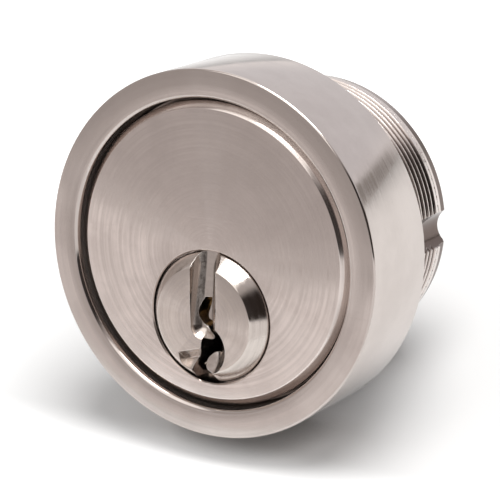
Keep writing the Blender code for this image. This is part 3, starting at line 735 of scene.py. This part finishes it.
def makePlug(size, pins, screws):
    line = softened([
        (size["face"], 0.0),
        (size["face"], size["faceRadius"]),
        (size["face"] - size["bevelBack"], size["headRadius"]),
        (size["headBack"], size["headRadius"]),
        (size["headBack"], size["radius"]),
        (size["end"], size["radius"]),
        (size["end"], 0.0),
    ], size["fillet"])
    plug = lathe("plugCore", line, size["steps"], drop=plugDrop)
    past = size["keywayPast"]
    cutters = [
        pressed("keyway", keyway, size["face"] + past, size["end"] - past, drop=plugDrop),
        scoopCutter(scoopSize, size["face"]),
        dishCutter(dishSize, size["face"]),
        notchCutter(notchSize, size["face"]),
    ]
    pinHole = [(pins["plugTop"], 0.0), (pins["plugTop"], pins["hole"]), (pins["cone"], pins["hole"]),
               (pins["tip"], pins["tipRadius"]), (pins["tip"], 0.0)]
    for number in range(pins["count"]):
        cutters.append(uprightRod(f"pinHole{number}", pinHole, pins["plugSteps"], pinForward(number),
                                  drop=plugDrop))
    cutters += screwHoles("screwHole", screws, screws["holeFront"], screws["holeBack"], screws["holeSteps"])
    return machined(plug, cutters)


finished(makePlug(plugSize, pinSize, screwSize), materials["plug"], "plug", ["plug"],
         sharp=25)
print("plug machined")


# Cam on the plug's tail, and its screws

camSize = {"front": -13.0, "back": -15.4, "hub": 7.0, "tip": 3.2, "reach": 14.3, "edge": 0.3, "steps": 40,
           "holeFront": -12.0, "holeBack": -16.5, "holeSteps": 40}


def makeCam(size, screws):
    lean = math.asin((size["hub"] - size["tip"]) / size["reach"])
    outline = []
    for radius, height, start, end in ((size["tip"], size["reach"], math.pi - lean, lean),
                                       (size["hub"], 0.0, lean, -math.pi - lean)):
        for step in range(size["steps"] + 1):
            angle = start + (end - start) * step / size["steps"]
            outline.append((radius * math.cos(angle), height + radius * math.sin(angle), ""))
    cam = shown(pressed("camPlate", outline, size["front"], size["back"], drop=plugDrop, resolution=1))
    edge = cam.modifiers.new("edges", "BEVEL")
    edge.width = size["edge"] * mm
    edge.segments = 4
    edge.angle_limit = math.radians(60)
    rounded = plain(cam)
    cam.modifiers.clear()
    cam.data = rounded
    holes = screwHoles("camHole", screws, size["holeFront"], size["holeBack"], size["holeSteps"])
    return machined(cam, holes)


def makeScrew(name, size, side):  # slotted, with a rounded head
    top = size["seat"] - size["tall"]
    line = softened([
        (size["seat"] + size["length"], 0.0),
        (size["seat"] + size["length"], size["shank"] - size["tipChamfer"]),
        (size["seat"] + size["length"] - size["tipChamfer"], size["shank"]),
        (size["seat"], size["shank"]),
        (size["seat"], size["head"]),
        (top + size["crown"], size["head"]),
        (top, size["head"] - size["crown"]),
        (top, 0.0),
    ], size["fillet"], parts=5)
    screw = moved(lathe(name, line, size["steps"], drop=plugDrop - size["rise"]), x=side * size["aside"])
    bm = bmesh.new()
    bmesh.ops.create_cube(bm, size=1)
    block = (4 * size["head"] * mm, 2 * size["slotDeep"] * mm, size["slotWide"] * mm)
    bmesh.ops.scale(bm, vec=block, verts=bm.verts)
    slot = turned(bpy.data.objects.new("slot", tidyMesh(bm, "slot")), size["turned"] * side, "Y")
    return machined(screw, [moved(slot, x=side * size["aside"], forward=top, up=size["rise"] - plugDrop)])


finished(makeCam(camSize, screwSize), materials["cam"], "plug", ["cam"])
for number, side in ((1, -1), (2, 1)):
    finished(makeScrew(f"camScrew{number}", screwSize, side), materials["screw"], "plug",
             [f"cam_screw_{number}"])
print("cam and screws fitted")


# Pin springs, one coil tree for all five

coilSize = {"turns": 6.0, "radius": 1.255, "wire": 0.125, "low": 4.695, "high": 12.525, "closedTurn": 0.31,
            "keep": 0.625}


def makeCoilTree(size):
    share = size["closedTurn"] / (size["high"] - size["low"])
    part = 1 / size["turns"]  # one closed turn at each end
    tree, given, out = newTree("coil", "GeometryNodeTree", [
        ("Geometry", "NodeSocketGeometry", None),
        ("Turns", "NodeSocketFloat", 6.0),
        ("Coil Radius", "NodeSocketFloat", 0.001),
        ("Wire Radius", "NodeSocketFloat", 0.0001),
        ("Low", "NodeSocketFloat", 0.0),
        ("High", "NodeSocketFloat", 0.01),
        ("Forward", "NodeSocketFloat", 0.0),
        ("Material", "NodeSocketMaterial", None),
    ], [("Geometry", "NodeSocketGeometry")])
    spiral = node(tree, "GeometryNodeCurveSpiral", {
        "Resolution": 24, "Rotations": given.outputs["Turns"], "Start Radius": given.outputs["Coil Radius"],
        "End Radius": given.outputs["Coil Radius"], "Height": 0.0,
    })
    along = node(tree, "GeometryNodeSplineParameter").outputs["Factor"]
    rise = curveOf(tree, along, [(0, 0), (part, share), (1 - part, 1 - share), (1, 1)])
    whole = calc(tree, "SUBTRACT", given.outputs["High"], given.outputs["Low"])
    height = calc(tree, "MULTIPLY_ADD", rise, whole, given.outputs["Low"])
    spot = node(tree, "ShaderNodeSeparateXYZ", {0: node(tree, "GeometryNodeInputPosition")})
    back = calc(tree, "SUBTRACT", spot.outputs[1], given.outputs["Forward"])
    where = node(tree, "ShaderNodeCombineXYZ", {0: spot.outputs[0], 1: back, 2: height})
    lifted = node(tree, "GeometryNodeSetPosition", {"Geometry": spiral, "Position": where})
    wire = node(tree, "GeometryNodeCurvePrimitiveCircle", {
        "Resolution": 10, "Radius": given.outputs["Wire Radius"],
    })
    swept = node(tree, "GeometryNodeCurveToMesh", {
        "Curve": lifted, "Profile Curve": wire, "Fill Caps": True,
    })
    real = node(tree, "GeometryNodeRealizeInstances", {"Geometry": swept})
    dressed = node(tree, "GeometryNodeSetMaterial", {
        "Geometry": real, "Material": given.outputs["Material"],
    })
    join(tree, out.inputs[0], dressed)
    return tree


coilTree = makeCoilTree(coilSize)
for number in range(pinSize["count"]):
    spring = grown(f"pinSpring{number + 1}", coilTree, {
        "Turns": coilSize["turns"], "Coil Radius": coilSize["radius"] * mm,
        "Wire Radius": coilSize["wire"] * mm, "Low": coilSize["low"] * mm, "High": coilSize["high"] * mm,
        "Forward": pinForward(number) * mm, "Material": materials["spring"],
    })
    finished(spring, materials["spring"], "housing", [f"pin_spring_{number + 1}"], sharp=60)
    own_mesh(spring)
print("springs wound")


# CAD pieces that keep their shape get their finish

for name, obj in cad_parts.items():
    for part, finish in (("chamber_cap", "brass"), ("key_pin", "brass"), ("driver_pin", "pin")):
        if name.startswith(part):
            obj.data.materials.clear()
            obj.data.materials.append(materials[finish])
            obj.data.shade_smooth()
            obj.data.set_sharp_from_angle(angle=math.radians(35))
            break
print("plain pieces dressed")


# Camera, floor and lights

cameraSize = {"place": (0.12477, -0.20820, 0.06228), "look": (-0.5015, 0.8267, -0.2549), "lens": 178.64}
lampSize = {"place": (0.09, -0.10, 0.42), "width": 0.30, "power": 1.6, "colour": (1.0, 0.99, 0.98)}
# the room as glossy rays meet it, by their direction's X (across), Y (behind) and Z (height)
roomSize = {
    "behind": (-0.5, 0.2), "backHigh": (0.20, 0.42), "edgeTurn": -0.485, "edgeSlope": 0.44,
    "edgeLift": 0.2442, "beyond": (-0.235, -0.195), "stripFoot": (-0.246, -0.240),
    "stripTop": (-0.220, -0.232), "stripShare": 0.75, "tableEdge": (-0.243, -0.250),
    "panelTop": (0.35, 0.31), "panelFoot": (0.08, 0.27), "panelSide": (0.2, 0.38),
    "tableLow": (-0.06, -0.14), "tableRight": (-0.1, 0.3),
}
roomTints = {
    "nearEdge": (0.80, 0.735, 0.71), "beyond": (0.50, 0.457, 0.442), "strip": (0.30, 0.27, 0.255),
    "table": (0.88, 0.82, 0.80), "backLow": (1.08, 1.03, 1.01), "backHigh": (0.86, 0.84, 0.86),
    "panel": (0.38, 0.355, 0.34), "tableRight": (0.98, 0.95, 0.94), "soft": (0.55, 0.55, 0.55),
    "backdrop": (1.0, 1.0, 1.0),
}
# patches in that room: a direction, the cosines where a patch begins and is full, its share and its tint
studioPatches = (
    ("greyLeft", (-0.81, 0.10, 0.58), 0.70, 0.93, 0.80, (0.55, 0.51, 0.49)),
    ("ceiling", (-0.35, 0.35, 0.87), 0.90, 0.96, 1.0, (1.36, 1.32, 1.30)),
    ("softboxTop", (-0.02, -0.62, 0.78), 0.84, 0.89, 1.0, (1.52, 1.47, 1.43)),
    ("darkRight", (0.905, -0.36, 0.20), 0.84, 0.945, 1.0, (0.024, 0.017, 0.014)),
    ("darkFront", (0.62, -0.77, 0.12), 0.88, 0.96, 1.0, (0.05, 0.042, 0.04)),
)
# the object lies nose up on the collar's back rim and the barrel's end, so the floor rises towards the back
floorSize = {
    "radius": 0.6, "x": -0.29, "y": 0.46, "rise": 0.332, "gap": 0.05, "contact": 0.004, "open": (0.15, 0.8),
    "dark": (0.32, 0.31, 0.305), "pale": (0.86, 0.86, 0.86), "near": 0.030, "far": 0.062, "nearGlow": 0.02,
    "farGlow": 0.5, "front": (-0.005, -0.0105), "frontGlow": 0.36, "glossyGlow": 0.1,
}


def makeCamera(size):
    lens = bpy.data.cameras.new("camera")
    lens.lens = size["lens"]
    lens.sensor_width = 36
    lens.clip_start = 0.005
    camera = shown(bpy.data.objects.new("camera", lens))
    camera.location = size["place"]
    camera.rotation_euler = Vector(size["look"]).to_track_quat("-Z", "Y").to_euler()
    scene.camera = camera


def makeLamp(size):
    lamp = bpy.data.lights.new("overhead", "AREA")
    lamp.shape = "DISK"
    lamp.size = size["width"]
    lamp.energy = size["power"]
    lamp.color = size["colour"]
    holder = shown(bpy.data.objects.new("overhead", lamp))
    holder.location = size["place"]
    holder.rotation_euler = (-Vector(size["place"])).to_track_quat("-Z", "Y").to_euler()


def makeWorld(size, tints, patches):
    world = bpy.data.worlds.new("studio")
    scene.world = world
    world.use_nodes = True
    tree = world.node_tree
    tree.nodes.clear()
    ray = node(tree, "ShaderNodeLightPath")
    way = node(tree, "ShaderNodeTexCoord").outputs["Generated"]
    spot = node(tree, "ShaderNodeSeparateXYZ", {0: way})
    across, depth, height = spot.outputs[0], spot.outputs[1], spot.outputs[2]
    # in front a pale table ends at a slanting edge, with a darker strip beyond it
    slant = calc(tree, "MULTIPLY_ADD", calc(tree, "MINIMUM", across, size["edgeTurn"]), size["edgeSlope"],
                 calc(tree, "ADD", height, size["edgeLift"]))
    front = blend(tree, ramp(tree, slant, *size["beyond"]), tints["nearEdge"], tints["beyond"])
    strip = calc(tree, "MULTIPLY", ramp(tree, slant, *size["stripFoot"]),
                 ramp(tree, slant, *size["stripTop"], 0.0, size["stripShare"]))
    front = blend(tree, strip, front, tints["strip"])
    front = blend(tree, ramp(tree, slant, *size["tableEdge"]), front, tints["table"])
    # a white sweep behind, with a grey panel low at the right, sharp above and soft below
    behind = ramp(tree, depth, *size["behind"])
    back = blend(tree, ramp(tree, height, *size["backHigh"]), tints["backLow"], tints["backHigh"])
    studio = blend(tree, behind, front, back)
    panel = calc(tree, "MULTIPLY", ramp(tree, height, *size["panelTop"]),
                 ramp(tree, height, *size["panelFoot"]))
    beside = calc(tree, "MULTIPLY", ramp(tree, across, *size["panelSide"]), behind)
    studio = blend(tree, calc(tree, "MULTIPLY", panel, beside), studio, tints["panel"])
    for name, toward, low, high, share, tint in patches:
        near = node(tree, "ShaderNodeVectorMath", {0: way, 1: tuple(Vector(toward).normalized())},
                    operation="DOT_PRODUCT", label=name)
        studio = blend(tree, ramp(tree, near.outputs["Value"], low, high, 0.0, share), studio, tint)
    # the pale table goes on at the right, in front of the floor's edge
    table = calc(tree, "MULTIPLY", ramp(tree, height, *size["tableLow"]),
                 ramp(tree, across, *size["tableRight"]))
    studio = blend(tree, table, studio, tints["tableRight"])
    seen = calc(tree, "MAXIMUM", ray.outputs["Is Glossy Ray"], ray.outputs["Is Transmission Ray"])
    level = blend(tree, seen, tints["soft"], studio)
    level = blend(tree, ray.outputs["Is Camera Ray"], level, tints["backdrop"])
    join(tree, node(tree, "ShaderNodeOutputWorld").inputs["Surface"],
         node(tree, "ShaderNodeBackground", {"Color": level, "Strength": 1.0}))


def floorPaint(size):
    material = bpy.data.materials.new("paleFloor")
    material.use_nodes = True
    tree = material.node_tree
    shader = tree.nodes["Principled BSDF"]
    shader.inputs["Roughness"].default_value = 0.9
    shader.inputs["Specular IOR Level"].default_value = 0.0
    # painted contact shadow: darker where the object stands close over it
    over = node(tree, "ShaderNodeAmbientOcclusion", {"Distance": size["contact"]}, samples=8)
    clear = ramp(tree, over.outputs["AO"], *size["open"])
    join(tree, shader.inputs["Base Color"], blend(tree, clear, size["dark"], size["pale"]))
    # it glows for the camera, weakly near the object and more further out and in front: a painted shadow
    # round the object and painted light in front; in reflections it glows faintly and evenly
    ray = node(tree, "ShaderNodeLightPath")
    place = node(tree, "ShaderNodeTexCoord").outputs["Object"]
    away = node(tree, "ShaderNodeVectorMath", {0: place}, operation="LENGTH").outputs["Value"]
    along = node(tree, "ShaderNodeSeparateXYZ", {0: place}).outputs[1]
    swept = calc(tree, "ADD",
                 ramp(tree, away, size["near"], size["far"], size["nearGlow"], size["farGlow"]),
                 ramp(tree, along, *size["front"], 0.0, size["frontGlow"]))
    mirrored = calc(tree, "MULTIPLY", ray.outputs["Is Glossy Ray"], size["glossyGlow"])
    strength = calc(tree, "MULTIPLY_ADD", ray.outputs["Is Camera Ray"], swept, mirrored)
    glow = node(tree, "ShaderNodeEmission", {"Color": (1, 1, 1, 1), "Strength": strength})
    join(tree, tree.nodes["Material Output"].inputs["Surface"],
         node(tree, "ShaderNodeAddShader", {0: shader, 1: glow}))
    return material


def makeFloor(size):
    lean = math.atan(size["rise"])
    bm = bmesh.new()
    bmesh.ops.create_circle(bm, cap_ends=True, radius=size["radius"], segments=128)
    floor = shown(bpy.data.objects.new("floor", tidyMesh(bm, "floor")))
    floor.data.transform(Matrix.Translation((size["x"], size["y"] / math.cos(lean), 0)))
    floor.data.transform(Matrix.Rotation(lean, 4, "X"))
    moved(floor, up=-(collarSize["outer"] + size["gap"]))
    floor.data.materials.append(floorPaint(size))


makeCamera(cameraSize)
makeLamp(lampSize)
makeWorld(roomSize, roomTints, studioPatches)
makeFloor(floorSize)
scene.view_settings.view_transform = "Standard"
print("studio lit")
